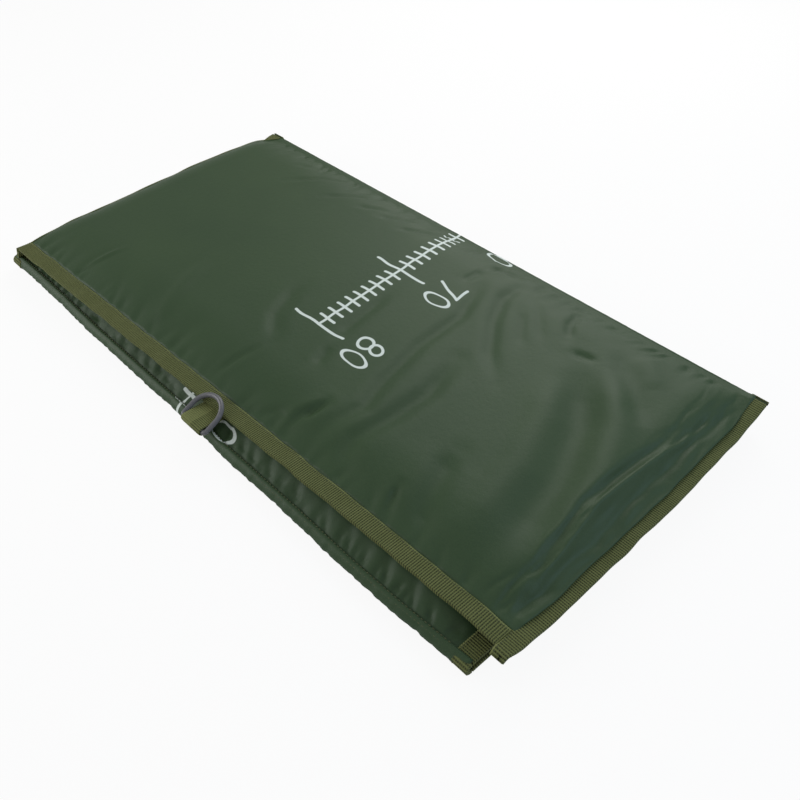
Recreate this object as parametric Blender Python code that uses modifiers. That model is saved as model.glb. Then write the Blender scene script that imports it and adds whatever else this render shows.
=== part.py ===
"""Folding unhooking mat for fish, packed away as in the photograph.

Three padded panels are folded like a letter with the printed side outward. The bottom panel lies print
down, the inner panel lies on it print up, and the top panel covers both. Each panel is a foam slab
between a printed cover and a backing cover. Tape binds every free edge. The covers of two neighbouring
panels are sewn together along an unpadded band, and the mat folds at that band. A webbing tab at the top
panel's free end holds a plastic D-ring.

Metres, +Z up, origin in the middle of the footprint at ground level. -X is the free end with the ring,
+X is the outer fold, and +Y is the left side as seen from the ring end.
"""

import math
from dataclasses import dataclass

import bmesh
import bpy
from mathutils import Matrix, Vector

# Whole mat
WIDTH = 0.622
LAYER_GAP = 0.0005
GAP = 0.0003

# Cloth, foam and tape
COVER = 0.0005
FOAM = 0.0112
TAPE = 0.0007
TAPE_FACE = 0.013
TAPE_EDGE_ROOM = 0.0006
TAPE_ROUND = 0.0006
TAPE_CORNER_GAP = 0.0013

# Shape of a padded panel
SIDE_HEM = 0.013
FOLD_HEM = 0.005
SHOULDER = 0.040
FOAM_MARGIN = 0.003
SIDE_DRAW = 0.0025
END_DRAW = 0.0015
SHOULDER_POWER = 2.2
SHOULDER_LINE_SHARES = (0.24, 0.46, 0.71, 1.0)
FLAT_CELLS_ALONG = 3
FLAT_CELLS_ACROSS = 6

# Where the folds and free ends lie along X, and how askew the lower panels run
FOLD_X = 0.1565
INNER_END_X = 0.140
TOP_END_RIGHT_X = -0.141
TOP_END_LEFT_X = -0.158
LOWER_LEAN = 0.0125

# How far the edges sink below the panel's middle
BOTTOM_EDGE_DROOP = 0.0014
INNER_EDGE_DROOP = 0.0071
INNER_END_DROOP = 0.0052

# Fold bands
OUTER_BULGE = 0.0039
INNER_BULGE = 0.0050
BAND_LEAD = 0.0010
BAND_ARC_CELLS = 10
BAND_CELLS_ACROSS = 4

# D-ring and its webbing tab
WEBBING = 0.025
WEBBING_THICK = 0.0012
RING_WIRE = 0.0042
RING_SIDE_PLAY = 0.0008
RING_DEPTH = 0.0275
RING_CORNER = 0.0025
RING_OFFSET_Y = -0.0094
RING_REACH = 0.0203
RING_DROP = 0.0048
TAB_SEWN_LENGTH = 0.009
RING_ARC_CELLS = 20
RING_CORNER_CELLS = 3
TAB_BEND_CELLS = 10

# Sizes that follow
HEM = 2 * COVER + GAP
PAD = FOAM + 2 * COVER + 2 * GAP
CROWN = PAD - HEM
PITCH = PAD + LAYER_GAP
BOTTOM_MID = PAD / 2
INNER_MID = BOTTOM_MID + PITCH
TOP_MID = INNER_MID + PITCH
TOP_EDGE_DROOP = CROWN / 2
TAPE_HALF = HEM / 2 + GAP + TAPE
TAPE_BACK = TAPE_EDGE_ROOM + TAPE
LOWER_HINGE_Z = BOTTOM_MID - HEM / 2
UPPER_HINGE_Z = TOP_MID + HEM / 2
HINGE_TAPE_GAP = TAPE_HALF - HEM / 2 + GAP / 2

RIGHT, LEFT = 0, 1


def rise(distance, hem):
    """Share of the full padding at a distance from an edge: none on the hem, then a round shoulder."""
    share = min(max((distance - hem) / SHOULDER, 0), 1)
    return 1 - (1 - share) ** SHOULDER_POWER


def lean_at(x):
    """The lower panels run askew, so their inner fold sits further left than the outer fold."""
    return LOWER_LEAN * (FOLD_X - x) / (2 * FOLD_X)


def mesh_lines(length, first_hem, last_hem, flat_cells):
    """Shares of a length where a panel's mesh has lines: close on hem and shoulder, wide on the flat."""
    def edge(hem):
        return [0, hem, hem + FOAM_MARGIN] + [hem + share * SHOULDER for share in SHOULDER_LINE_SHARES]

    start = edge(first_hem)
    end = [length - distance for distance in reversed(edge(last_hem))]
    step = (end[0] - start[-1]) / flat_cells
    flat = [start[-1] + step * k for k in range(1, flat_cells)]
    return [distance / length for distance in start + flat + end]


@dataclass
class Panel:
    """Outline, height and droop of one padded panel. Index 0 of a pair is its -X end, 1 its +X end."""

    name: str
    mid: float
    left_end_x: tuple
    right_end_x: float
    hems: tuple
    droops: tuple
    side_droop: float
    draws: tuple
    hinged: bool
    leans: bool

    def __post_init__(self):
        self.length = self.right_end_x - sum(self.left_end_x) / 2
        self.along_lines = mesh_lines(self.length, *self.hems, FLAT_CELLS_ALONG)
        self.across_lines = mesh_lines(WIDTH, SIDE_HEM, SIDE_HEM, FLAT_CELLS_ACROSS)

    def plan(self, along, across):
        """Point of the outline's plan at shares along X and across Y."""
        bow = math.sin(math.pi * across)
        start = self.left_end_x[0] + (self.left_end_x[1] - self.left_end_x[0]) * across + self.draws[0] * bow
        end = self.right_end_x - self.draws[1] * bow
        x = start + (end - start) * along
        half = WIDTH / 2 - SIDE_DRAW * math.sin(math.pi * along)
        return x, half * (2 * across - 1) + (lean_at(x) if self.leans else 0)

    def rises(self, along, across):
        side = min(across, 1 - across) * WIDTH
        first = rise(along * self.length, self.hems[0])
        last = rise((1 - along) * self.length, self.hems[1])
        return first, last, rise(side, SIDE_HEM)

    def middle(self, along, across):
        """Height halfway between the two covers. A hinged end stays level so that it can turn."""
        first, last, side = self.rises(along, across)
        ends = (self.droops[0] * (1 - first) + self.droops[1] * (1 - last)) * side
        sides = self.side_droop * (1 - side) * (last if self.hinged else 1)
        return self.mid - ends - sides

    def face(self, along, across, side, depth=0.0):
        """Point of the upper (side 1) or lower (side -1) face, or that far inside it."""
        x, y = self.plan(along, across)
        half = (HEM + CROWN * math.prod(self.rises(along, across))) / 2 - depth
        return Vector((x, y, self.middle(along, across) + side * half))

    def edge(self, along, across):
        x, y = self.plan(along, across)
        return Vector((x, y, self.middle(along, across)))


def make_panels():
    hinge_end = FOLD_X - GAP / 2
    inner_end = -FOLD_X + GAP / 2
    bottom = Panel(
        "bottom", BOTTOM_MID, (inner_end, inner_end), hinge_end, (FOLD_HEM, FOLD_HEM),
        (BOTTOM_EDGE_DROOP, 0), BOTTOM_EDGE_DROOP, (0, 0), hinged=True, leans=True,
    )
    inner = Panel(
        "inner", INNER_MID, (inner_end, inner_end), INNER_END_X, (FOLD_HEM, SIDE_HEM),
        (INNER_EDGE_DROOP, INNER_END_DROOP), INNER_EDGE_DROOP, (0, END_DRAW), hinged=False, leans=True,
    )
    top = Panel(
        "top", TOP_MID, (TOP_END_RIGHT_X, TOP_END_LEFT_X), hinge_end, (SIDE_HEM, FOLD_HEM),
        (TOP_EDGE_DROOP, 0), TOP_EDGE_DROOP, (END_DRAW, 0), hinged=True, leans=False,
    )
    return bottom, inner, top


@dataclass
class Fold:
    """An unpadded band that bulges out past a fold line, from one panel's middle height to another's."""

    name: str
    side: int
    heights: tuple
    bulge: float
    tape_gap: float

    def path(self, gap):
        """Points and outward normals up the band's middle surface, starting a gap past the fold line."""
        half_height = (self.heights[1] - self.heights[0]) / 2
        roundness = self.bulge - BAND_LEAD
        first = math.asin(max(gap - BAND_LEAD, 0) / roundness)
        stations = []
        for k in range(BAND_ARC_CELLS + 1):
            angle = first + (math.pi - 2 * first) * k / BAND_ARC_CELLS
            x = self.side * (FOLD_X + BAND_LEAD + roundness * math.sin(angle))
            z = sum(self.heights) / 2 - half_height * math.cos(angle)
            normal = Vector((self.side * half_height * math.sin(angle), 0, -roundness * math.cos(angle)))
            stations.append((Vector((x, 0, z)), normal.normalized()))
        for place, sign in ((0, -1), (-1, 1)):
            level = Vector((0, 0, sign))
            if gap < BAND_LEAD:
                start = Vector((self.side * (FOLD_X + gap), 0, stations[place][0].z))
                stations.insert(0 if place == 0 else len(stations), (start, level))
            else:
                stations[place] = (stations[place][0], level)
        return stations


# Materials: colour, roughness and metallic value
MATERIALS = {
    "printed nylon": ((0.045, 0.078, 0.047, 1), 0.5, 0),
    "backing cloth": ((0.030, 0.045, 0.030, 1), 0.6, 0),
    "foam": ((0.55, 0.56, 0.55, 1), 0.9, 0),
    "binding tape": ((0.110, 0.115, 0.035, 1), 0.8, 0),
    "webbing": ((0.100, 0.105, 0.030, 1), 0.8, 0),
    "ring plastic": ((0.13, 0.13, 0.14, 1), 0.35, 0),
}


def material(name):
    made = bpy.data.materials.get(name)
    if made:
        return made
    made = bpy.data.materials.new(name)
    made.use_nodes = True
    colour, roughness, metallic = MATERIALS[name]
    shader = made.node_tree.nodes["Principled BSDF"]
    shader.inputs["Base Color"].default_value = colour
    shader.inputs["Roughness"].default_value = roughness
    shader.inputs["Metallic"].default_value = metallic
    return made


def add_object(name, data, material_name, carrier, collection):
    """Put an object in the mat's collection, measured from the empty that carries it."""
    data.materials.append(material(material_name))
    obj = bpy.data.objects.new(name, data)
    collection.objects.link(obj)
    obj.parent = carrier
    return obj


def mesh_from(bm, name, carrier):
    bmesh.ops.recalc_face_normals(bm, faces=bm.faces)
    bmesh.ops.transform(bm, matrix=Matrix.Translation(-Vector(carrier["pivot"])), verts=bm.verts)
    mesh = bpy.data.meshes.new(name)
    bm.to_mesh(mesh)
    bm.free()
    mesh.shade_smooth()
    mesh.set_sharp_from_angle(angle=math.radians(50))
    return mesh


def add_grid(bm, columns, rows, place):
    """A grid whose lines stand at the given shares, each vertex put where place(column, row) says."""
    cells = len(columns) - 1, len(rows) - 1
    made = bmesh.ops.create_grid(bm, x_segments=cells[0], y_segments=cells[1], size=1)["verts"]
    for vert in made:
        column = round((vert.co.x + 1) / 2 * cells[0])
        row = round((vert.co.y + 1) / 2 * cells[1])
        vert.co = place(columns[column], rows[row])


def solidify(obj, thickness, offset):
    shell = obj.modifiers.new("thickness", "SOLIDIFY")
    shell.thickness = thickness
    shell.offset = offset
    shell.use_even_offset = False


def add_cover(panel, name, side, material_name, carrier, collection):
    """One cover of a panel: an open cloth surface over the padding, thickened inward."""
    bm = bmesh.new()
    add_grid(bm, panel.along_lines, panel.across_lines, lambda p, q: panel.face(p, q, side))
    mesh = mesh_from(bm, name, carrier)
    if mesh.polygons[0].normal.z * side < 0:
        mesh.flip_normals()
    solidify(add_object(name, mesh, material_name, carrier, collection), COVER, -1)


def add_foam(panel, name, carrier, collection):
    """The foam slab: it stops short of the hems and thins to a soft edge where the seams squeeze it."""
    bm = bmesh.new()
    columns = panel.along_lines[2:-2]
    rows = panel.across_lines[2:-2]
    for side in (1, -1):
        add_grid(bm, columns, rows, lambda p, q, side=side: panel.face(p, q, side, COVER + GAP))
    rims = [edge for edge in bm.edges if edge.is_boundary]
    bmesh.ops.bridge_loops(bm, edges=rims)
    add_object(name, mesh_from(bm, name, carrier), "foam", carrier, collection)


def tape_section():
    """Folded tape in section, as (outward, across the cloth): a channel that grips the covers' edge."""
    slot = HEM / 2 + GAP
    return (
        (-TAPE_FACE, -TAPE_HALF),
        (TAPE_BACK - TAPE_ROUND, -TAPE_HALF),
        (TAPE_BACK, TAPE_ROUND - TAPE_HALF),
        (TAPE_BACK, TAPE_HALF - TAPE_ROUND),
        (TAPE_BACK - TAPE_ROUND, TAPE_HALF),
        (-TAPE_FACE, TAPE_HALF),
        (-TAPE_FACE, slot),
        (TAPE_EDGE_ROOM, slot),
        (TAPE_EDGE_ROOM, -slot),
        (-TAPE_FACE, -slot),
    )


def add_tape(name, stations, carrier, collection):
    """Loft the tape's section through stations of (point, outward direction, cloth normal)."""
    bm = bmesh.new()
    rings = []
    for point, out, normal in stations:
        rings.append([bm.verts.new(point + a * out + b * normal) for a, b in tape_section()])
    for ring, after in zip(rings, rings[1:]):
        for k in range(len(ring)):
            bm.faces.new((ring[k - 1], ring[k], after[k], after[k - 1]))
    bm.faces.new(rings[0])
    bm.faces.new(rings[-1])
    add_object(name, mesh_from(bm, name, carrier), "binding tape", carrier, collection)


def side_stations(panel, side, gaps):
    """Stations along a panel's left or right edge, stopped a gap short of each end."""
    start, end = gaps[0] / panel.length, 1 - gaps[1] / panel.length
    shares = [start] + [share for share in panel.along_lines[1:-1] if start < share < end] + [end]
    out = Vector((0, 2 * side - 1, 0))
    return [(panel.edge(share, side), out, Vector((0, 0, 1))) for share in shares]


def end_stations(panel, along):
    """Stations along a free end, from one side tape's inner edge to the other's."""
    margin = (TAPE_FACE + TAPE_CORNER_GAP) / WIDTH
    shares = [margin] + panel.across_lines[2:-2] + [1 - margin]
    out = Vector((2 * along - 1, 0, 0))
    return [(panel.edge(along, share), out, Vector((0, 0, 1))) for share in shares]


def add_fold(fold, names, carrier, collection):
    """The cloth band of a fold and the two tape loops that bind its ends."""
    shift = lean_at(fold.side * FOLD_X)
    half = WIDTH / 2
    points = [point for point, _ in fold.path(GAP / 2)]
    columns = [k / (len(points) - 1) for k in range(len(points))]
    rows = [k / BAND_CELLS_ACROSS for k in range(BAND_CELLS_ACROSS + 1)]

    def place(column, row):
        point = points[columns.index(column)]
        return Vector((point.x, half * (2 * row - 1) + shift, point.z))

    bm = bmesh.new()
    add_grid(bm, columns, rows, place)
    band = add_object(names[0], mesh_from(bm, names[0], carrier), "printed nylon", carrier, collection)
    solidify(band, HEM, 0)
    for side, name in ((RIGHT, names[1]), (LEFT, names[2])):
        out = Vector((0, 2 * side - 1, 0))
        edge = out * half + Vector((0, shift, 0))
        stations = [(point + edge, out, normal) for point, normal in fold.path(fold.tape_gap)]
        add_tape(name, stations, carrier, collection)


def ring_pivot(top):
    """Middle of the D-ring's bar: out beyond the top panel's end binding and below it."""
    across = 0.5 + RING_OFFSET_Y / WIDTH
    edge = top.edge(0, across)
    return Vector((edge.x - RING_REACH, RING_OFFSET_Y, edge.z - RING_DROP))


def ring_tilt(top):
    """Angle above the horizontal at which the ring, thrown back over its tab, leans on the binding."""
    pivot = ring_pivot(top)
    edge = top.edge(0, 0.5 + RING_OFFSET_Y / WIDTH)
    corner = edge + Vector((TAPE_ROUND - TAPE_BACK, 0, TAPE_HALF)) - pivot
    reach = math.hypot(corner.x, corner.z)
    return math.atan2(corner.z, corner.x) + math.asin((RING_WIRE / 2 + GAP) / reach)


def ring_outline():
    """Centre line of the D as (across, away from the bar): bar, rounded corners, legs and round end."""
    half = WEBBING / 2 + RING_SIDE_PLAY + RING_WIRE / 2
    leg = RING_DEPTH - half
    points = []
    for k in range(RING_CORNER_CELLS + 1):
        angle = math.pi / 2 * (k / RING_CORNER_CELLS - 1)
        across = half - RING_CORNER + RING_CORNER * math.cos(angle)
        points.append((across, RING_CORNER + RING_CORNER * math.sin(angle)))
    for k in range(RING_ARC_CELLS + 1):
        angle = math.pi * k / RING_ARC_CELLS
        points.append((half * math.cos(angle), leg + half * math.sin(angle)))
    corner = points[: RING_CORNER_CELLS + 1]
    return points + [(-across, away) for across, away in reversed(corner)]


def add_ring(top, carrier, collection):
    curve = bpy.data.curves.new("d_ring", "CURVE")
    curve.dimensions = "3D"
    curve.bevel_depth = RING_WIRE / 2
    curve.bevel_resolution = 4
    outline = ring_outline()
    spline = curve.splines.new("POLY")
    spline.points.add(len(outline) - 1)
    for point, (across, away) in zip(spline.points, outline):
        point.co = (away, across, 0, 1)
    spline.use_cyclic_u = True
    spline.use_smooth = True
    ring = add_object("d_ring", curve, "ring plastic", carrier, collection)
    ring.rotation_euler.y = -ring_tilt(top)


def add_tab(top, carrier, collection):
    """Webbing folded round the ring's bar, its two ends sewn together under the end binding."""
    pivot = ring_pivot(top)
    edge = top.edge(0, 0.5 + RING_OFFSET_Y / WIDTH)
    sewn_z = edge.z - TAPE_HALF - GAP - WEBBING_THICK - GAP / 2
    sewn_half = (WEBBING_THICK + GAP) / 2
    radius = RING_WIRE / 2 + GAP + WEBBING_THICK / 2
    slope = math.atan2(sewn_z - pivot.z, edge.x - pivot.x)
    upper = [Vector((edge.x + reach, 0, sewn_z + sewn_half)) for reach in (TAB_SEWN_LENGTH, 0)]
    lower = [Vector((edge.x + reach, 0, sewn_z - sewn_half)) for reach in (0, TAB_SEWN_LENGTH)]
    bend = []
    for k in range(TAB_BEND_CELLS + 1):
        angle = slope + math.pi / 2 + math.pi * k / TAB_BEND_CELLS
        bend.append(pivot + radius * Vector((math.cos(angle), 0, math.sin(angle))))
    points = upper + bend + lower
    bm = bmesh.new()
    columns = [k / (len(points) - 1) for k in range(len(points))]

    def place(column, row):
        point = points[columns.index(column)]
        return Vector((point.x, RING_OFFSET_Y + WEBBING * (row - 1 / 2), point.z))

    add_grid(bm, columns, (0, 1), place)
    tab = add_object("ring_tab", mesh_from(bm, "ring_tab", carrier), "webbing", carrier, collection)
    solidify(tab, WEBBING_THICK, 0)


def add_pivot(name, pivot, carrier, collection):
    """An empty on a joint's axis. It keeps its place in the mat's frame as the custom value pivot."""
    empty = bpy.data.objects.new(name, None)
    empty["pivot"] = tuple(pivot)
    empty.empty_display_size = RING_DEPTH
    collection.objects.link(empty)
    empty.location = pivot - Vector(carrier["pivot"]) if carrier else pivot
    empty.parent = carrier
    return empty


def centre_on_footprint(root, collection):
    """Move the mat so that the origin is in the middle of its footprint, on the ground."""
    bpy.context.view_layer.update()
    graph = bpy.context.evaluated_depsgraph_get()
    spots = []
    for obj in collection.objects:
        if obj.type != "EMPTY":
            evaluated = obj.evaluated_get(graph)
            spots += [evaluated.matrix_world @ vert.co for vert in evaluated.to_mesh().vertices]
            evaluated.to_mesh_clear()
    for axis in (0, 1):
        values = [spot[axis] for spot in spots]
        root.location[axis] = -(min(values) + max(values)) / 2
    root.location.z = -min(spot.z for spot in spots)


def build():
    for obj in list(bpy.data.objects):
        bpy.data.objects.remove(obj)
    collection = bpy.data.collections.new("unhooking mat")
    bpy.context.scene.collection.children.link(collection)
    bottom, inner, top = make_panels()

    root = add_pivot("lower_mat", Vector((0, 0, 0)), None, collection)
    fold = add_pivot("outer_fold", Vector((FOLD_X, 0, LOWER_HINGE_Z)), root, collection)
    lid = add_pivot("top_panel", Vector((FOLD_X, 0, UPPER_HINGE_Z)), fold, collection)
    swivel = add_pivot("ring", ring_pivot(top), lid, collection)

    for panel, carrier in ((bottom, root), (inner, root), (top, lid)):
        outside = -1 if panel is bottom else 1
        add_foam(panel, f"{panel.name}_foam", carrier, collection)
        add_cover(panel, f"{panel.name}_print_cover", outside, "printed nylon", carrier, collection)
        add_cover(panel, f"{panel.name}_back_cover", -outside, "backing cloth", carrier, collection)
        start_gap = GAP / 2 if panel.leans else -TAPE_BACK
        end_gap = HINGE_TAPE_GAP if panel.hinged else -TAPE_BACK
        for side, side_name in ((RIGHT, "right"), (LEFT, "left")):
            stations = side_stations(panel, side, (start_gap, end_gap))
            add_tape(f"{panel.name}_tape_{side_name}", stations, carrier, collection)
    add_tape("inner_tape_end", end_stations(inner, 1), root, collection)
    add_tape("top_tape_end", end_stations(top, 0), lid, collection)

    inner_heights = bottom.middle(0, 1 / 2), inner.middle(0, 1 / 2)
    inner_fold = Fold("inner", -1, inner_heights, INNER_BULGE, GAP / 2)
    outer_fold = Fold("outer", 1, (BOTTOM_MID, TOP_MID), OUTER_BULGE, HINGE_TAPE_GAP)
    for band, carrier in ((inner_fold, root), (outer_fold, fold)):
        names = [f"{band.name}_fold_{piece}" for piece in ("band", "tape_right", "tape_left")]
        add_fold(band, names, carrier, collection)

    add_tab(top, lid, collection)
    add_ring(top, swivel, collection)
    centre_on_footprint(root, collection)


build()
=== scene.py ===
"""Looks of the folded unhooking mat: padded nylon panels, bound edges, sewn folds and a D-ring.

The mat is three foam pads in one length of printed nylon, folded like a letter. Sizes are in metres.
"""

import math

import bpy
import numpy as np
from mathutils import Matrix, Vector


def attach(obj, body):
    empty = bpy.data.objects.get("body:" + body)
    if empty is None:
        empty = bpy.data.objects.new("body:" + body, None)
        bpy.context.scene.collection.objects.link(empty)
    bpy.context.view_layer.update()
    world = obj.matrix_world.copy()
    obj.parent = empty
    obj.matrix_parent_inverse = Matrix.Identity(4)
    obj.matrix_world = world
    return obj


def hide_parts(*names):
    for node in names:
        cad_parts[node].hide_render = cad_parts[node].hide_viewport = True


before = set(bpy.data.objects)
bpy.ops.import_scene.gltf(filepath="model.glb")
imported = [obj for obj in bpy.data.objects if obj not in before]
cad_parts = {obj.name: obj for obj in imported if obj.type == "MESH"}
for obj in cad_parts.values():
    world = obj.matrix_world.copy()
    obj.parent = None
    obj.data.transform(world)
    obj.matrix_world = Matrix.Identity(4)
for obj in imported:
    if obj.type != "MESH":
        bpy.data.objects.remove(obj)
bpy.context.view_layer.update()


# Foam slabs
# Closed-cell foam, cut a little smaller than each pad and squeezed thin by the seams round it. The mat has
# three pads. The lower two run slightly askew. The top one has a slanted free end, its left hem hangs down
# and its right side sags.

OUTER_FOLD_X = 0.161292
INNER_FOLD_X = -0.151708
MIDDLE_Y = -0.006233
MAT_WIDTH = 0.622
LOWER_LEAN = 0.0125
CLOTH = 0.0005
HEM = 0.0013
CROWN = 0.0115
FOLD_HEM = 0.005
SIDE_HEM = 0.013
RIGHT_HEM = 0.0085
SIDE_DRAW = 0.0025
RIGHT_REACH = 0.15

# How far from an edge the padding is full, and how round its shoulder is
SHOULDER = 0.040
FREE_END_SHOULDER = 0.058
LEFT_SHOULDER = 0.020
SHOULDER_POWER = 2.2

# The top pad's left hem: how steeply it hangs, how far in the pad follows it, how far from the outer fold
# it hangs fully, and where its seam runs along the mat
HANG = math.radians(62)
HANG_REACH = 0.08
HANG_LEAD = 0.026
HANGING_SEAM = (
    (-0.153, 0.3052), (-0.140, 0.3040), (-0.067, 0.3035), (0.016, 0.3080), (0.063, 0.3105), (0.127, 0.3085),
    (0.162, 0.3045),
)

# How far edges stray from straight lines, at places along them
RIGHT_BOW = (
    (-0.142, 0.0030), (-0.130, 0.0052), (-0.094, 0.0065), (-0.053, 0.0055), (-0.010, 0.0052), (0.039, 0.0045),
    (0.093, 0.0025), (0.160, 0.0),
)
RIGHT_SAG = (
    (-0.142, 0.0020), (-0.110, 0.0040), (-0.050, 0.0050), (0.0, 0.0050), (0.050, 0.0052), (0.100, 0.0034),
    (0.160, 0.0),
)
LOWER_RIGHT_TUCK = ((-0.152, 0.0), (0.0, 0.0030), (0.161, 0.0095))
INNER_FOLD_BOW = (
    (-0.311, 0.0), (-0.290, 0.0012), (-0.250, 0.0031), (-0.200, 0.0040), (-0.140, 0.0030), (-0.050, 0.0034),
    (-0.020, 0.0016), (0.060, 0.0020), (0.150, 0.0020), (0.244, 0.0), (0.325, 0.0),
)

# Starts are the free end's places at the right and left. Droops and draws are how far the two ends sink and
# are drawn in. Gathers are the pitch, depth and reach of the puckers at the ends and sides, with a seed.
PADS = {
    "bottom": dict(
        height=0.0064, start=(INNER_FOLD_X, INNER_FOLD_X), end=OUTER_FOLD_X, hems=(FOLD_HEM, FOLD_HEM),
        droops=(0.0014, 0), draws=(0, 0), hangs=False, hinged=True,
        body="lower_mat", gathers=(
            (0.0115, 0.0008, 0.008, 31), (0.020, 0.0005, 0.010, 32),
            (0.022, 0.0006, 0.010, 33), (0.022, 0.0006, 0.010, 34),
        ),
    ),
    "inner": dict(
        height=0.0197, start=(INNER_FOLD_X, INNER_FOLD_X), end=0.144792, hems=(0.0, SIDE_HEM),
        droops=(0.0071, 0.0052), draws=(0, 0.0015), hangs=False, hinged=False,
        body="lower_mat", gathers=(
            (0.0105, 0.0060, 0.0100, 21), (0.020, 0.0006, 0.010, 22),
            (0.022, 0.0008, 0.010, 23), (0.022, 0.0008, 0.010, 24),
        ),
    ),
    "top": dict(
        height=0.033, start=(-0.136208, -0.153208), end=OUTER_FOLD_X, hems=(SIDE_HEM, FOLD_HEM),
        droops=(0.00575, 0), draws=(0.0015, 0), hangs=True, hinged=True,
        body="top_panel", gathers=(
            (0.019, 0.0022, 0.017, 11), (0.0150, 0.0022, 0.016, 12),
            (0.034, 0.0012, 0.012, 13), (0.060, 0.0005, 0.010, 14),
        ),
    ),
}


def ramp(distance, reach):
    """Rises from 0 to 1 over the reach, and stays level on both sides of it."""
    return np.clip(distance / reach, 0, 1)


def ripple(place, pitch, seed):
    """A wavering line of about the given pitch, from -1 to 1, the same on every run."""
    chance = np.random.default_rng(seed)
    total = np.zeros_like(place)
    for share in (0.62, 0.8, 1.0, 1.33, 1.9):
        total += np.sin(2 * np.pi * place / (pitch * share) + chance.uniform(0, 2 * np.pi))
    return total / 3.2


def bowed(table, places):
    return np.interp(places, *zip(*table))


def hang_angle(x):
    """How steeply the top pad's left hem hangs down. It is level where the fold holds it."""
    share = ramp(OUTER_FOLD_X - x, HANG_LEAD)
    return HANG * share * share * (3 - 2 * share)


def lean(x):
    """How far the askew lower pads lie to the left at a place along the mat."""
    return LOWER_LEAN * (OUTER_FOLD_X - x) / (OUTER_FOLD_X - INNER_FOLD_X)


def shoulder(distance, hem, reach=SHOULDER):
    """Share of the full padding at a distance from a pad's edge."""
    return 1 - (1 - ramp(distance - hem, reach)) ** SHOULDER_POWER


def pad_length(pad):
    return pad["end"] - sum(pad["start"]) / 2


def pad_plan(pad, along, across):
    """Places on the ground at shares along and across a pad, from the D-ring's end and the right side."""
    bow = np.sin(np.pi * across)
    start = pad["start"][0] + (pad["start"][1] - pad["start"][0]) * across + pad["draws"][0] * bow
    end = pad["end"] - pad["draws"][1] * bow
    if not pad["hangs"]:
        start = start - bowed(INNER_FOLD_BOW, (across - 0.5) * MAT_WIDTH)
    x = start + (end - start) * along
    half = MAT_WIDTH / 2 - SIDE_DRAW * np.sin(np.pi * along)
    y = MIDDLE_Y + half * (2 * across - 1)
    near_right = 1 - ramp(across * MAT_WIDTH, RIGHT_REACH)
    if not pad["hangs"]:
        y = y + bowed(LOWER_RIGHT_TUCK, x) * near_right
    else:
        y = y - (bowed(RIGHT_BOW, x) + SIDE_DRAW * np.sin(np.pi * along)) * near_right
    if pad["hangs"]:
        down = (1 - across) * MAT_WIDTH
        angle = hang_angle(x)
        level = 1 - angle / HANG
        seam = bowed(HANGING_SEAM, x) * (1 - level) + (MIDDLE_Y + MAT_WIDTH / 2 - SIDE_HEM) * level
        share = ramp(down - SIDE_HEM, HANG_REACH - SIDE_HEM)
        inner_y = MIDDLE_Y + half * (1 - 2 * HANG_REACH / MAT_WIDTH)
        near = seam + np.where(down < SIDE_HEM, np.cos(angle) * (SIDE_HEM - down), (inner_y - seam) * share)
        y = np.where(down < HANG_REACH, near, y)
    return x, y + (0 if pad["hangs"] else lean(x))


def pad_rises(pad, along, across):
    """Shares of the full padding that the two ends and the sides leave."""
    length = pad_length(pad)
    sides = shoulder(np.minimum(across, 1 - across) * MAT_WIDTH, SIDE_HEM)
    if pad["hangs"]:
        left = shoulder((1 - across) * MAT_WIDTH, SIDE_HEM, LEFT_SHOULDER)
        sides = np.where(np.asarray(across) > 0.5, left, sides)
    first = shoulder(along * length, pad["hems"][0], FREE_END_SHOULDER if pad["hangs"] else SHOULDER)
    return first, shoulder((1 - along) * length, pad["hems"][1]), sides


def pad_middle(pad, along, across):
    """Height halfway between a pad's two cloths."""
    first, last, side = pad_rises(pad, along, across)
    ends = (pad["droops"][0] * (1 - first) + pad["droops"][1] * (1 - last)) * side
    sides = pad["droops"][0] * (1 - side) * (last if pad["hinged"] else 1)
    hem = 0
    if pad["hangs"]:
        left = np.asarray(across) > 0.5
        right = sides + bowed(RIGHT_SAG, pad_plan(pad, along, across)[0]) * (1 - side)
        sides = np.where(left, pad["droops"][0] * (1 - side) * (1 - first), right)
        angle = hang_angle(pad_plan(pad, along, across)[0])
        hem = np.sin(angle) * np.clip(SIDE_HEM - (1 - across) * MAT_WIDTH, 0, None)
    return pad["height"] - ends - sides - hem


def pad_face(pad, along, across, side, depth=0.0):
    """Points of a pad's upper (side 1) or lower (side -1) face."""
    x, y = pad_plan(pad, along, across)
    first, last, sides = pad_rises(pad, along, across)
    if pad["hangs"] and side > 0:
        sides = np.where(across < 0.5, shoulder(across * MAT_WIDTH, RIGHT_HEM), sides)
    half = (HEM + CROWN * first * last * sides) / 2 - depth
    return np.stack([x, y, pad_middle(pad, along, across) + side * half], axis=-1)


def grid_piece(name, cells, crowd=0.0):
    """A flat grid. Gives the piece and each vertex's shares along X and across Y, closer at the edges."""
    bpy.ops.object.select_all(action="DESELECT")
    bpy.ops.mesh.primitive_grid_add(x_subdivisions=cells[0], y_subdivisions=cells[1], size=1)
    piece = bpy.context.object
    piece.name = name
    piece.data.name = name
    points = np.empty(len(piece.data.vertices) * 3)
    piece.data.vertices.foreach_get("co", points)
    points = points.reshape(-1, 3)
    shares = points[:, :2] + 0.5
    shares -= crowd * np.sin(2 * np.pi * shares) / (2 * np.pi)
    return piece, shares[:, 0], shares[:, 1]


def place_vertices(piece, points):
    piece.data.vertices.foreach_set("co", np.ascontiguousarray(points, dtype=np.float32).ravel())
    piece.data.update()


def dress(piece, material):
    piece.data.materials.clear()
    piece.data.materials.append(material)

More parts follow.
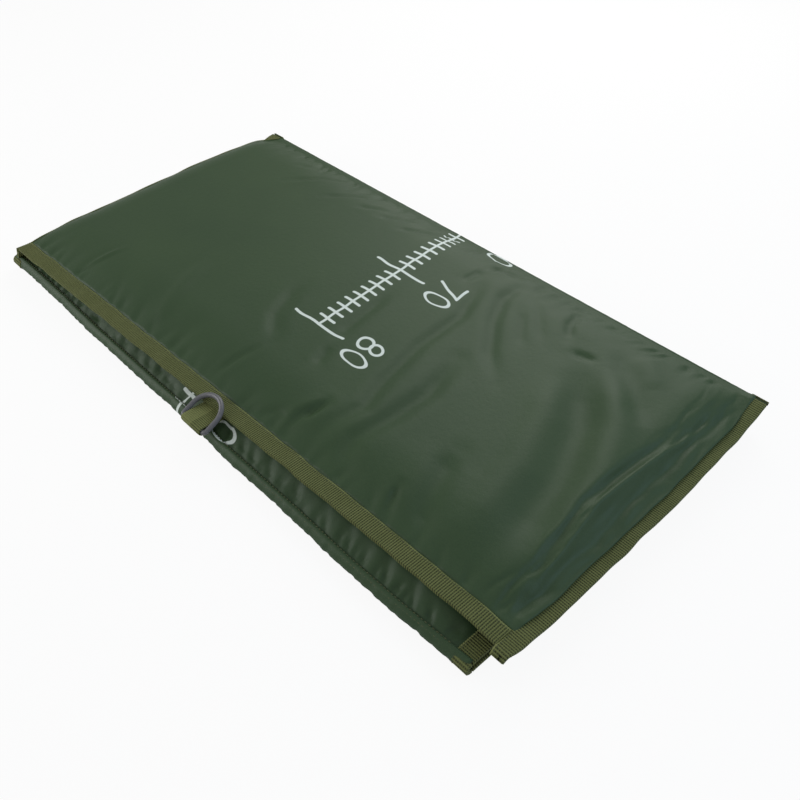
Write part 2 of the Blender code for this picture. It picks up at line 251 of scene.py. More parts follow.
# The top pad's creases, from being folded often: strength, half-width in millimetres and the places that
# each passes, in millimetres. A valley's strength is negative. The places were picked by eye on the
# photograph, and a script turned them into millimetres.
CREASE_UNIT = 0.0023
CREASES = (
    (-2.2, 16.0, ((97, -192), (37, -235), (-18, -258), (-75, -271), (-115, -272))),
    (2.0, 16.0, ((115, -210), (56, -253), (4, -279), (-53, -293), (-89, -297))),
    (1.2, 14.0, ((73, -182), (22, -209), (-27, -228), (-70, -237), (-125, -246))),
    (-1.0, 4.0, ((98, -179), (101, -189), (103, -199))),
    (-1.2, 5.0, ((107, -167), (125, -155), (140, -151), (152, -157))),
    (-0.6, 5.0, ((111, -114), (71, -146))),
    (-0.6, 5.0, ((133, -112), (87, -155))),
    (-1.3, 7.0, ((148, -102), (132, -90), (112, -91), (83, -106), (50, -132), (25, -161))),
    (
        -1.3, 7.0,
        ((128, -53), (101, -68), (67, -82), (16, -85), (-35, -97), (-65, -108), (-94, -103), (-133, -102)),
    ),
    (-1.7, 9.0, ((26, -119), (-19, -131), (-57, -131), (-91, -127), (-120, -138), (-137, -145))),
    (-1.5, 4.0, ((-80, -84), (-107, -82))),
    (-1.2, 4.0, ((-108, -65), (-131, -71))),
    (-1.7, 3.5, ((-97, -182), (-117, -190), (-134, -197))),
    (-1.5, 10.0, ((-47, -192), (-62, -194), (-95, -208), (-124, -224))),
    (1.5, 3.0, ((106, -296), (38, -292), (-14, -292), (-60, -299), (-123, -306))),
    (-1.6, 3.5, ((135, -300), (60, -301), (17, -301), (-36, -306), (-72, -304), (-117, -309))),
    (-1.2, 3.0, ((90, -288), (40, -285), (-20, -284), (-62, -291), (-100, -300))),
    (-0.9, 3.0, ((-139, 11), (-121, 12), (-104, 10), (-73, 5))),
    (-1.0, 7.0, ((-67, 5), (-43, 32), (-15, 45), (3, 47))),
    (0.6, 2.5, ((-145, 229), (-121, 221), (-83, 214))),
    (-0.7, 3.0, ((-143, 171), (-122, 172))),
    (0.7, 8.0, ((-140, 108), (-113, 107), (-72, 128), (-34, 142))),
    (-1.1, 4.0, ((-135, -25), (-123, -53), (-106, -64))),
    (-1.6, 4.0, ((-136, -79), (-117, -78), (-103, -77), (-84, -85))),
    (-1.0, 6.0, ((-26, -28), (10, -22), (48, -16))),
    (-0.9, 5.0, ((-61, -44), (-38, -35))),
    (-0.6, 3.0, ((100, 207), (130, 183), (146, 164), (153, 146))),
    (-0.5, 3.0, ((130, 225), (158, 184))),
    (-0.7, 3.0, ((107, 155), (131, 133), (147, 112))),
    (-0.7, 3.0, ((120, 115), (141, 83))),
    (-0.8, 3.0, ((123, 85), (148, 51))),
    (-0.8, 3.0, ((121, 54), (144, 24))),
    (-1.5, 4.0, ((138, -51), (146, -62), (151, -78))),
    (-1.0, 4.0, ((104, -48), (131, -51))),
    (-1.2, 12.0, ((131, -197), (93, -241), (64, -273))),
    (0.6, 10.0, ((141, -222), (106, -254))),
)

# How many fine crinkles run beside the right tape, and how far past its seam they lie
CRINKLE_COUNT = 96
CRINKLE_BAND = (0.003, 0.030)

# How far past a seam a pucker is as deep as it gets
PUCKER_START = 0.0022


def crease_heights(x, y):
    """Heights of the creases, each with low banks beside it and fading towards its ends."""
    total = np.zeros_like(x)
    for strength, width, path in CREASES:
        height, width = CREASE_UNIT * strength, width / 1000
        spots = np.array(path, dtype=float) / 1000
        lengths = np.linalg.norm(np.diff(spots, axis=0), axis=1)
        done = np.concatenate([[0], np.cumsum(lengths)]) / lengths.sum()
        nearest = np.full_like(x, 9.0)
        station = np.zeros_like(x)
        for k in range(len(lengths)):
            run = spots[k + 1] - spots[k]
            share = np.clip(((x - spots[k, 0]) * run[0] + (y - spots[k, 1]) * run[1]) / lengths[k] ** 2, 0, 1)
            away = np.hypot(x - spots[k, 0] - share * run[0], y - spots[k, 1] - share * run[1])
            closer = away < nearest
            nearest = np.where(closer, away, nearest)
            station = np.where(closer, done[k] + (done[k + 1] - done[k]) * share, station)
        fade = np.clip(5 * station, 0.25, 1) * np.clip(4 * (1 - station), 0.15, 1)
        banks = 0.3 * np.exp(-((nearest / (2.4 * width)) ** 2))
        total += height * fade * (np.exp(-((nearest / width) ** 2)) - banks)
    return total


def seam_puckers(beyond, place, pitch, depth, reach, seed):
    """Narrow valleys that a seam pulls into the cloth. They start at the stitches, slant and die out."""
    chance = np.random.default_rng(seed)
    total = np.zeros_like(place)
    near = beyond < 3.5 * reach
    out, spots = np.clip(beyond[near], 0, None), place[near]
    found = np.zeros_like(out)
    spot = place.min()
    while spot < place.max():
        spot += pitch * chance.uniform(0.55, 1.5)
        size, length = chance.uniform(0.3, 1.0), reach * chance.uniform(0.6, 1.6)
        slant, width = chance.uniform(-0.25, 0.8), 0.13 * pitch + 0.2 * out
        found -= size * np.exp(-(((spots - spot - slant * out) / width) ** 2) - (out / length) ** 2)
    total[near] = depth * found * ramp(beyond[near] + 0.1 * PUCKER_START, PUCKER_START)
    return total


def side_crinkles(start, end, beyond, place):
    """Short fine crinkles beside the right tape, nearly in line with it."""
    chance = np.random.default_rng(61)
    total = np.zeros_like(place)
    for _ in range(CRINKLE_COUNT):
        middle, away = chance.uniform(place.min(), place.max()), chance.uniform(*CRINKLE_BAND)
        length, width = chance.uniform(0.012, 0.036), chance.uniform(0.0013, 0.0023)
        slant, height = chance.uniform(-0.16, 0.12), chance.uniform(-0.0011, 0.0008)
        run = place - middle
        off = beyond - away - slant * run - 0.0010 * np.sin(run / 0.006 + away / 0.001)
        total += height * np.exp(-((off / width) ** 2) - (run / length) ** 2)
    return total * ramp(start, 0.012) * ramp(end, 0.03) * ramp(beyond, CRINKLE_BAND[0])


def seam_distances(pad, along, across):
    """Distances past the hems of the pad's two ends and two sides."""
    length = pad_length(pad)
    return (
        along * length - pad["hems"][0], (1 - along) * length - pad["hems"][1],
        across * MAT_WIDTH - (RIGHT_HEM if pad["hangs"] else SIDE_HEM), (1 - across) * MAT_WIDTH - SIDE_HEM,
    )


def cover_relief(pad_name, x, y, along, across):
    """Puckers at a pad's seams, and on the top pad the creases and crinkles too."""
    pad = PADS[pad_name]
    total = np.zeros_like(x)
    for beyond, place, spec in zip(seam_distances(pad, along, across), (y, y, x, x), pad["gathers"]):
        total += seam_puckers(beyond, place, *spec)
    first, last, side = pad_rises(pad, along, across)
    full = first * last * side
    total = np.maximum(total, -0.7 * CROWN * full)
    if pad_name == "top":
        total += crease_heights(x, y) * np.clip(full * 1.6, 0, 1)
        start, end, right, _ = seam_distances(pad, along, across)
        total += side_crinkles(start, end, right, x)
    return total


def feed(tree, socket, value):
    """Link a node's output to a socket, or set the socket to a plain value."""
    if hasattr(value, "is_output"):
        tree.links.new(value, socket)
    else:
        socket.default_value = value


def fill(tree, node, **values):
    """Feed a node's inputs, named with underscores for spaces. Gives its outputs."""
    for label, value in values.items():
        feed(tree, node.inputs[label.replace("_", " ")], value)
    return node.outputs


def start_material(name, roughness):
    material = bpy.data.materials.new(name)
    material.use_nodes = True
    tree = material.node_tree
    shader = tree.nodes["Principled BSDF"]
    fill(tree, shader, Roughness=roughness)
    return material, tree, shader


def noise_at(tree, scale, detail, roughness=0.5, place=None):
    """Noise over the piece's own coordinates, or over the given place."""
    node = tree.nodes.new("ShaderNodeTexNoise")
    if place is None:
        place = tree.nodes.new("ShaderNodeTexCoord").outputs["Object"]
    return fill(tree, node, Vector=place, Scale=scale, Detail=detail, Roughness=roughness)["Fac"]


def mix_colour(tree, share, first, second):
    node = tree.nodes.new("ShaderNodeMix")
    node.data_type = "RGBA"
    names = {"Factor": share, "A": first, "B": second}
    for socket in node.inputs:
        if socket.enabled and socket.name in names:
            feed(tree, socket, names[socket.name])
    return [socket for socket in node.outputs if socket.enabled][0]


def speckled(name, roughness, dark, light, scale, detail):
    """A material whose colour wanders between two shades, with its tree, shader and noise."""
    material, tree, shader = start_material(name, roughness)
    noise = noise_at(tree, scale, detail)
    fill(tree, shader, Base_Color=mix_colour(tree, noise, dark, light))
    return material, tree, shader, noise


def bump(tree, shader, height, distance, strength):
    node = tree.nodes.new("ShaderNodeBump")
    fill(tree, node, Distance=distance, Strength=strength, Height=height)
    fill(tree, shader, Normal=node.outputs["Normal"])


# How far inside the hems the foam ends, and the room that is left between it and the cloth
FOAM_END_INSET = 0.007
FOAM_SIDE_INSET = 0.005
FOAM_ROOM = 0.0008
FOAM_CELLS = (76, 140)
FOAM_DARK = (0.42, 0.43, 0.42, 1)
FOAM_LIGHT = (0.62, 0.63, 0.62, 1)

foam_grey, tree, shader, cells = speckled("foam", 0.9, FOAM_DARK, FOAM_LIGHT, 900, 3)
bump(tree, shader, cells, 0.0004, 0.6)

for pad_name, pad in PADS.items():
    slab, along, across = grid_piece(f"{pad_name}_foam_slab", FOAM_CELLS)
    inset = (np.array(pad["hems"]) + FOAM_END_INSET) / pad_length(pad)
    along = inset[0] + (1 - inset.sum()) * along
    side_inset = (SIDE_HEM + FOAM_SIDE_INSET) / MAT_WIDTH
    across = side_inset + (1 - 2 * side_inset) * across
    upper = pad_face(pad, along, across, 1, CLOTH + FOAM_ROOM)
    lower = pad_face(pad, along, across, -1, CLOTH + FOAM_ROOM / 2)
    if pad_name != "bottom":
        relief = cover_relief(pad_name, upper[:, 0], upper[:, 1], along, across)
        sunk = 1.15 * np.minimum(relief, 0)
        for beyond, (_, depth, reach, _) in zip(seam_distances(pad, along, across), pad["gathers"]):
            sunk -= depth * np.exp(-((beyond / (1.7 * reach)) ** 2))
        upper[:, 2] = np.maximum(upper[:, 2] + sunk, lower[:, 2] + FOAM_ROOM)
    place_vertices(slab, upper)
    bpy.ops.object.mode_set(mode="EDIT")
    bpy.ops.mesh.select_all(action="SELECT")
    bpy.ops.mesh.duplicate()
    bpy.ops.object.mode_set(mode="OBJECT")
    place_vertices(slab, np.concatenate([upper, lower]))
    bpy.ops.object.mode_set(mode="EDIT")
    bpy.ops.mesh.select_all(action="SELECT")
    bpy.ops.mesh.select_mode(type="EDGE")
    bpy.ops.mesh.select_all(action="DESELECT")
    bpy.ops.mesh.select_non_manifold(extend=False)
    bpy.ops.mesh.bridge_edge_loops()
    bpy.ops.mesh.select_all(action="SELECT")
    bpy.ops.mesh.normals_make_consistent(inside=False)
    bpy.ops.mesh.select_mode(type="VERT")
    bpy.ops.object.mode_set(mode="OBJECT")
    slab.data.shade_smooth()
    dress(slab, foam_grey)
    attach(slab, pad["body"])
    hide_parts(f"{pad_name}_foam")


# Backing cloth
# A plain darker coated cloth closes each pad on the side that has no print. It is sewn to the printed one
# round all four edges.

BACKING_LIGHT = (0.032, 0.048, 0.032, 1)
BACKING_DARK = (0.020, 0.032, 0.021, 1)
BACKING_ROOM = 0.0003
BACKING_CELLS = (66, 124)


def calc(tree, operation, *values, clamp=False):
    node = tree.nodes.new("ShaderNodeMath")
    node.operation = operation
    node.use_clamp = clamp
    for socket, value in zip(node.inputs, values):
        feed(tree, socket, value)
    return node.outputs[0]


def new_group(name, inputs, outputs):
    tree = bpy.data.node_groups.new(name, "ShaderNodeTree")
    for label, kind, value in inputs:
        socket = tree.interface.new_socket(name=label, in_out="INPUT", socket_type=kind)
        if value is not None:
            socket.default_value = value
    for label, kind in outputs:
        tree.interface.new_socket(name=label, in_out="OUTPUT", socket_type=kind)
    return tree, tree.nodes.new("NodeGroupInput").outputs, tree.nodes.new("NodeGroupOutput").inputs


def place_group(tree, group, **values):
    node = tree.nodes.new("ShaderNodeGroup")
    node.node_tree = group
    return fill(tree, node, **values)


def parts_of(tree, place):
    """The X, Y and Z of a place."""
    return fill(tree, tree.nodes.new("ShaderNodeSeparateXYZ"), Vector=place)


FLOAT, VECTOR = "NodeSocketFloat", "NodeSocketVector"

weave, given, made = new_group(
    "plain weave",
    [("Place", VECTOR, None), ("Pitch", FLOAT, 0.0005)],
    [("Height", FLOAT)],
)
place = parts_of(weave, given["Place"])
turns = calc(weave, "DIVIDE", 2 * math.pi, given["Pitch"])
warp = calc(weave, "SINE", calc(weave, "MULTIPLY", place["X"], turns))
weft = calc(weave, "SINE", calc(weave, "MULTIPLY", place["Y"], turns))
weave.links.new(calc(weave, "MULTIPLY_ADD", calc(weave, "MULTIPLY", warp, weft), 0.5, 0.5), made["Height"])


def cloth_place(tree):
    node = tree.nodes.new("ShaderNodeUVMap")
    node.uv_map = "cloth"
    return node.outputs["UV"]


def write_uv(piece, values):
    """A UV map called cloth, in metres along and across the cloth."""
    corners = np.empty(len(piece.data.loops), dtype=np.int32)
    piece.data.loops.foreach_get("vertex_index", corners)
    for old in list(piece.data.uv_layers):
        piece.data.uv_layers.remove(old)
    layer = piece.data.uv_layers.new(name="cloth")
    layer.data.foreach_set("uv", np.ascontiguousarray(values[corners], dtype=np.float32).ravel())


def finish_cloth(piece, thickness, offset):
    """Give a flat sheet its thickness and smooth shading."""
    shell = piece.modifiers.new("thickness", "SOLIDIFY")
    shell.thickness = thickness
    shell.offset = offset
    bpy.context.view_layer.objects.active = piece
    bpy.ops.object.modifier_apply(modifier=shell.name)
    piece.data.shade_smooth()


backing_cloth, tree, shader, _ = speckled("backing_cloth", 0.6, BACKING_DARK, BACKING_LIGHT, 20, 2)
threads = place_group(tree, weave, Place=cloth_place(tree), Pitch=0.0009)["Height"]
bump(tree, shader, threads, 0.0001, 0.5)

for pad_name, pad in PADS.items():
    side = 1 if pad_name == "bottom" else -1
    cover, along, across = grid_piece(f"{pad_name}_backing", BACKING_CELLS)
    points = pad_face(pad, along, across, side)
    relief = 0.3 * cover_relief("bottom", points[:, 0], points[:, 1], along, across)
    points[:, 2] += side * (relief - BACKING_ROOM)
    place_vertices(cover, points)
    write_uv(cover, points[:, :2])
    finish_cloth(cover, CLOTH, -side)
    dress(cover, backing_cloth)
    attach(cover, pad["body"])
    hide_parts(f"{pad_name}_back_cover")


# Printed covers
# The outside of the mat: coated nylon, dark green with a soft shine, stretched over each pad and gathered at
# its seams. A row of centimetre marks from 0 to 80 with a number at each ten is printed on it in pale ink,
# which follows the cloth through its UV map.

NYLON = (0.043, 0.080, 0.033, 1)
NYLON_DARK = (0.034, 0.066, 0.029, 1)
INK = (0.72, 0.80, 0.75, 1)

# The print in centimetres: half its strokes' width and their soft edge, half of a short and a long mark, how
# far out the numbers stand, how far their figures stand from the number's middle, and where the row ends
INK_HALF = 0.135
INK_EDGE = 0.02
SHORT_MARK = 0.9
LONG_MARK = 2.95
NUMBER_OUT = 5.45
FIGURE_SHIFT = 0.96
RULER_END = 80
RULER_SLACK = 0.14

# A distance that is too far for any ink
FAR = 9.0

# The strokes of each first figure, in centimetres from its middle. Straight ones run from point to point.
# Round ones have a centre, two radii, the side that they open to and how far out the gap starts.
HIGH, LOW = 1.33, -1.33
CLOSED = ((0, 0), FAR)
FIGURES = {
    1: ([((-0.35, 0.9), (0.1, HIGH)), ((0.1, HIGH), (0.1, LOW))], []),
    2: (
        [((0.5, 0.3), (-0.62, LOW)), ((-0.62, LOW), (0.66, LOW))],
        [((0, 0.68), (0.62, 0.65), (-0.3, -1), 0.25)],
    ),
    3: ([], [((-0.04, 0.66), (0.6, 0.67), (-1, 0), 0.35), ((0, -0.62), (0.66, 0.71), (-1, 0), 0.45)]),
    4: ([((0.35, HIGH), (0.35, LOW)), ((0.35, HIGH), (-0.68, -0.55)), ((-0.68, -0.55), (0.7, -0.55))], []),
    5: (
        [((0.55, HIGH), (-0.42, HIGH)), ((-0.42, HIGH), (-0.52, 0.1))],
        [((0, -0.5), (0.65, 0.83), (-1, 0), 0.45)],
    ),
    6: ([((-0.6, -0.42), (0.3, HIGH))], [((0, -0.6), (0.65, 0.73), *CLOSED)]),
    7: ([((-0.79, HIGH), (0.78, HIGH)), ((0.78, HIGH), (-0.26, LOW))], []),
    8: ([], [((0, 0.66), (0.54, 0.65), *CLOSED), ((0, -0.62), (0.67, 0.71), *CLOSED)]),
}
NOUGHT_RADII = (0.64, 1.35, 1)


def vector_calc(tree, operation, *values):
    node = tree.nodes.new("ShaderNodeVectorMath")
    node.operation = operation
    for socket, value in zip(node.inputs, values):
        feed(tree, socket, value)
    return node.outputs["Value"] if operation in ("DOT_PRODUCT", "LENGTH") else node.outputs["Vector"]


line_group, given, made = new_group(
    "printed stroke",
    [("Place", VECTOR, None), ("From", VECTOR, None), ("To", VECTOR, None)],
    [("Distance", FLOAT)],
)
run = vector_calc(line_group, "SUBTRACT", given["To"], given["From"])
reach = vector_calc(line_group, "SUBTRACT", given["Place"], given["From"])
share = calc(
    line_group, "DIVIDE",
    vector_calc(line_group, "DOT_PRODUCT", reach, run), vector_calc(line_group, "DOT_PRODUCT", run, run),
    clamp=True,
)
off = vector_calc(line_group, "SUBTRACT", reach, vector_calc(line_group, "MULTIPLY", run, share))
line_group.links.new(vector_calc(line_group, "LENGTH", off), made["Distance"])

ring_group, given, made = new_group(
    "printed round",
    [
        ("Place", VECTOR, None), ("Centre", VECTOR, None), ("Radii", VECTOR, (1, 1, 1)),
        ("Open side", VECTOR, (0, 0, 0)), ("Open from", FLOAT, FAR),
    ],
    [("Distance", FLOAT)],
)
reach = vector_calc(ring_group, "SUBTRACT", given["Place"], given["Centre"])
radii = parts_of(ring_group, given["Radii"])
mean = calc(ring_group, "MULTIPLY", calc(ring_group, "ADD", radii["X"], radii["Y"]), 0.5)
turns = vector_calc(ring_group, "LENGTH", vector_calc(ring_group, "DIVIDE", reach, given["Radii"]))
away = calc(ring_group, "ABSOLUTE", calc(ring_group, "SUBTRACT", turns, 1.0))
opened = vector_calc(ring_group, "DOT_PRODUCT", reach, given["Open side"])
cut = calc(ring_group, "GREATER_THAN", opened, given["Open from"])
distance = calc(ring_group, "MULTIPLY_ADD", cut, FAR, calc(ring_group, "MULTIPLY", away, mean))
ring_group.links.new(distance, made["Distance"])

ruler, given, made = new_group("ruler print", [("Place", VECTOR, None)], [("Ink", FLOAT)])


def ruled(operation, *values):
    return calc(ruler, operation, *values)


place = parts_of(ruler, given["Place"])
value = ruled("MULTIPLY", place["X"], 100)
out = ruled("MULTIPLY", place["Y"], 100)
tens = ruled("ROUND", ruled("DIVIDE", value, 10))
from_ten = ruled("SUBTRACT", value, ruled("MULTIPLY", tens, 10))
from_one = ruled("SUBTRACT", value, ruled("ROUND", value))


def mark(from_mark, half_length):
    """Distance from a straight printed mark that runs across the row."""
    beyond = ruled("MAXIMUM", ruled("SUBTRACT", ruled("ABSOLUTE", out), half_length), 0)
    squares = ruled("ADD", ruled("MULTIPLY", from_mark, from_mark), ruled("MULTIPLY", beyond, beyond))
    return ruled("SQRT", squares)


def between(low, value, high):
    return ruled("MULTIPLY", ruled("GREATER_THAN", value, low), ruled("LESS_THAN", value, high))


def only_where(test, distance):
    """The distance where the test holds, and far away elsewhere."""
    return ruled("ADD", distance, ruled("MULTIPLY", ruled("SUBTRACT", 1, test), FAR))


def figure_place(shift):
    node = ruler.nodes.new("ShaderNodeCombineXYZ")
    fill(ruler, node, X=ruled("SUBTRACT", from_ten, shift), Y=ruled("SUBTRACT", out, NUMBER_OUT))
    return node.outputs["Vector"]


marks = ruled("MINIMUM", mark(from_one, SHORT_MARK), mark(from_ten, LONG_MARK))
marks = ruled("MINIMUM", marks, ruled("ABSOLUTE", out))
marks = only_where(between(-RULER_SLACK, value, RULER_END + RULER_SLACK), marks)

first_place, second_place = figure_place(-FIGURE_SHIFT), figure_place(FIGURE_SHIFT)
nought = place_group(ruler, ring_group, Place=second_place, Centre=(0, 0, 0), Radii=NOUGHT_RADII)["Distance"]
nearest = only_where(between(0.5, tens, RULER_END / 10 + 0.5), nought)
for figure, (straights, rounds) in FIGURES.items():
    drawn = FAR
    for start, end in straights:
        stroke = place_group(ruler, line_group, Place=first_place, From=(*start, 0), To=(*end, 0))
        drawn = ruled("MINIMUM", drawn, stroke["Distance"])
    for centre, radii, open_side, open_from in rounds:
        stroke = place_group(
            ruler, ring_group, Place=first_place, Centre=(*centre, 0), Radii=(*radii, 1),
            Open_side=(*open_side, 0), Open_from=open_from,
        )
        drawn = ruled("MINIMUM", drawn, stroke["Distance"])
    nearest = ruled("MINIMUM", nearest, only_where(between(figure - 0.5, tens, figure + 0.5), drawn))
edge = fill(
    ruler, ruler.nodes.new("ShaderNodeMapRange"), Value=ruled("MINIMUM", nearest, marks),
    From_Min=INK_HALF + INK_EDGE, From_Max=INK_HALF - INK_EDGE,
)
ruler.links.new(edge["Result"], made["Ink"])

printed_nylon, tree, shader = start_material("printed_nylon", 0.48)
place = cloth_place(tree)
shade = noise_at(tree, 14, 2)
grain = noise_at(tree, 850, 2, 0.7)
shade = calc(tree, "MULTIPLY_ADD", calc(tree, "SUBTRACT", grain, 0.5), 1.5, shade, clamp=True)
colour = mix_colour(tree, shade, NYLON_DARK, NYLON)
ink = place_group(tree, ruler, Place=place)["Ink"]
fill(tree, shader, Base_Color=mix_colour(tree, ink, colour, INK), Specular_IOR_Level=0.26)
threads = place_group(tree, weave, Place=place, Pitch=0.0007)["Height"]
soft = noise_at(tree, 260, 2)
relief = calc(tree, "MULTIPLY_ADD", threads, 0.2, calc(tree, "MULTIPLY_ADD", grain, 0.5, soft))
bump(tree, shader, relief, 0.00022, 0.6)


def ruler_place(part, x, y, run=None):
    """Place along the printed row and distance from it, in centimetres over a hundred, for points of a cloth.

    The row slants and wavers a little, as it does on the real cloth, and its steps are close to a centimetre.
    """
    x, y = x * 100, y * 100
    if part == "top":
        near_fold = np.clip((x - 13) / 3, 0, 1.1) ** 1.5
        value = RULER_END - (x + 2.64 + 0.034 * (y + 0.53)) / 1.031 - 1.3 * near_fold
        row = -0.55 + 0.085 * (x + 2.64) + 0.05 * ripple(x, 3.2, 52)
        value = value + 0.09 * ripple(y, 3.6, 51)
    elif part == "inner":
        near_fold = ramp(-y, 2) * ramp(-12.5 - x, 1.5)
        value = 21 - (x + 14.4) / 1.02 - 0.54 * near_fold
        row = 1.86 - 0.1 * (x + 15.17) * ramp(-13 - x, 2) + 0.23 * near_fold
    elif part == "bottom":
        value = 26.1 + (x + 15.17) / 0.99
        row = 1.9 - 0.0275 * (x + 15.17)
    elif part == "inner_fold":
        near_fold = ramp(-y, 2)
        value = 22.05 + 1.4 * (1 - run) - 0.54 * near_fold
        row = 1.86 + 0.23 * near_fold
    else:
        value = 57.7 + run * 2.7
        row = 1.04
    return np.stack([value / 100, -(y - row) / 100], axis=-1)


def stand_up(beyond, height):
    """How far cloth stands up over soft foam where it leaves a seam."""
    beyond = np.clip(beyond, 0, None)
    return height * (1 - np.exp(-beyond / 0.0007)) * np.exp(-beyond / 0.011)


def roll_out(beyond, reach):
    """How far the cloth rolls back over the seam that it leaves."""
    fade = np.exp(-(np.clip(beyond - 0.002, 0, None) / 0.005) ** 2)
    return reach * ramp(beyond - 0.0005, 0.0012) * fade


COVER_CELLS = {"top": (150, 290), "inner": (140, 270), "bottom": (80, 150)}

for pad_name, pad in PADS.items():
    side = -1 if pad_name == "bottom" else 1
    cover, along, across = grid_piece(f"{pad_name}_printed_cover", COVER_CELLS[pad_name], crowd=0.55)
    points = pad_face(pad, along, across, side)
    x, y = points[:, 0].copy(), points[:, 1].copy()
    if pad_name != "bottom":
        points[:, 2] += cover_relief(pad_name, x, y, along, across)
        start, end, right, left = seam_distances(pad, along, across)
        inside = ramp(np.minimum(right, left), 0.004)
        if pad_name == "top":
            points[:, 2] += stand_up(start, 0.0012) * inside + stand_up(right, 0.0026) * ramp(start, 0.01)
            waver = 0.95 + 0.12 * ripple(x, 0.05, 3)
            points[:, 1] -= roll_out(right, 0.0040) * waver * ramp(start, 0.02) * ramp(end, 0.02)
            points[:, 0] -= roll_out(start, 0.0010) * inside
        else:
            points[:, 2] += stand_up(start, 0.0004) * inside
    place_vertices(cover, points)
    write_uv(cover, ruler_place(pad_name, x, y))
    finish_cloth(cover, CLOTH, -side)
    dress(cover, printed_nylon)
    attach(cover, pad["body"])
    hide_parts(f"{pad_name}_print_cover")


# Binding tape
# Olive ribbed tape, folded over every free edge of the pads and sewn through. Its ribs run across it. The
# grooves between them are painted darker as shade, with random dark flecks. The top pad's right tape runs on
# past the free end, with its end turned down.

TAPE = 0.0007
TAPE_FACE = 0.013
TAPE_BACK = 0.0006 + TAPE
TAPE_HALF = HEM / 2 + 0.0003 + TAPE
TAPE_ROUND = 0.0006
TAPE_RIB = 0.0019
KNOT_PITCH = 0.0016
SELVEDGE = 0.0011
TAPE_COLOUR = (0.130, 0.152, 0.045, 1)
# The dark of the random flecks, and of the painted shade in the grooves between the ribs
TAPE_FLECKS_AND_GROOVE_SHADE = (0.022, 0.027, 0.010, 1)
TAPE_LIGHT = (0.190, 0.212, 0.076, 1)

# Where a side tape stops short of the inner and the outer fold, whose own loops of tape go on from there
INNER_CUT = 0.00015
OUTER_CUT = 0.00115

# How a loose end's face narrows, and how it reaches on, goes in, drops and turns
TURN_REACH = 0.022
TURN_NARROW = 0.004
TAIL_REACH = 0.0055
TAIL_IN = 0.0006
TAIL_DROP = 0.0030
TAIL_TURN = 0.8

STITCH_PITCH = 0.0034
STITCH_INSET = 0.0018
SEAMS = {}


def wave(tree, operation, place, pitch):
    """A sine or cosine from 0 to 1."""
    turned = calc(tree, operation, calc(tree, "MULTIPLY", place, 2 * math.pi / pitch))
    return calc(tree, "MULTIPLY_ADD", turned, 0.5, 0.5)


def tape_material(name, rib):
    """Ribbed weave, painted darker as shade in the grooves between the ribs and in random dark flecks, with a
    paler selvedge that has fewer of them.
    """
    material, tree, shader = start_material(name, 0.85)
    place = cloth_place(tree)
    parts = parts_of(tree, place)
    ribs = wave(tree, "COSINE", parts["X"], rib)
    knots = wave(tree, "SINE", parts["Y"], KNOT_PITCH)
    fleck = noise_at(tree, 900, 2, 0.6, place)
    knots = calc(tree, "MULTIPLY_ADD", knots, 0.5, 0.5)
    # Painted shade: the grooves between the ribs, where the bump is low, are darkened, broken by the knots
    # and random flecks
    shade = calc(tree, "MULTIPLY", calc(tree, "SUBTRACT", 1, ribs), knots)
    shade = calc(tree, "MULTIPLY", shade, calc(tree, "MULTIPLY_ADD", fleck, 2.6, -0.25), clamp=True)
    selvedge = calc(tree, "GREATER_THAN", parts["Y"], TAPE_FACE - SELVEDGE)
    shade = calc(tree, "MULTIPLY", shade, calc(tree, "MULTIPLY_ADD", selvedge, -0.8, 1))
    lightness = calc(tree, "MULTIPLY_ADD", selvedge, 0.5, noise_at(tree, 60, 2, place=place))
    base = mix_colour(tree, lightness, TAPE_COLOUR, TAPE_LIGHT)
    fill(tree, shader, Base_Color=mix_colour(tree, shade, base, TAPE_FLECKS_AND_GROOVE_SHADE), Specular_IOR_Level=0.3)
    bump(tree, shader, calc(tree, "ADD", ribs, calc(tree, "MULTIPLY", fleck, 0.5)), 0.0004, 0.8)
    return material


def tape_section():
    """The folded tape in section, as (outward, across the cloth), and how many of its points lie outside."""
    outside = [(-TAPE_FACE, 0.0002 - TAPE_HALF)]
    for share in (0.08, 0.3, 0.5, 0.75, 1):
        outside.append((share * (TAPE_BACK - TAPE_ROUND) - (1 - share) * TAPE_FACE, -TAPE_HALF))
    for k in range(1, 7):
        turn = math.pi / 2 * k / 6
        sine, rise = math.sin(turn), 1 - math.cos(turn)
        outside.append((TAPE_BACK - TAPE_ROUND + TAPE_ROUND * sine, -TAPE_HALF + TAPE_ROUND * rise))
    outside += [(a, -b) for a, b in reversed(outside)]
    slot = HEM / 2 + 0.0001
    inside = [(-TAPE_FACE, slot), (-0.004, slot), (0.0002, slot)]
    return np.array(outside + inside + [(a, -b) for a, b in reversed(inside)]), len(outside)


def lengths_along(points):
    """Distance from the first point to each, along the line through them."""
    return np.concatenate([[0], np.cumsum(np.linalg.norm(np.diff(points, axis=0), axis=1))])


def unit(vectors):
    return vectors / np.linalg.norm(vectors, axis=1)[:, None]


def at_lengths(wanted, known, values):
    """The rows of values at the wanted lengths, given the length at which each row is known."""
    return np.stack([np.interp(wanted, known, values[:, k]) for k in range(values.shape[1])], axis=-1)


def sew(body, row, normals):
    """Keep the places of the stitches of one row, for the threads to be made once all rows are known."""
    steps = lengths_along(row)
    spots = np.arange(0.003, steps[-1] - 0.002, STITCH_PITCH)
    place = at_lengths(spots, steps, row)
    ahead = at_lengths(spots + 0.001, steps, row) - place
    SEAMS.setdefault(body, []).append((place, ahead, at_lengths(spots, steps, normals)))


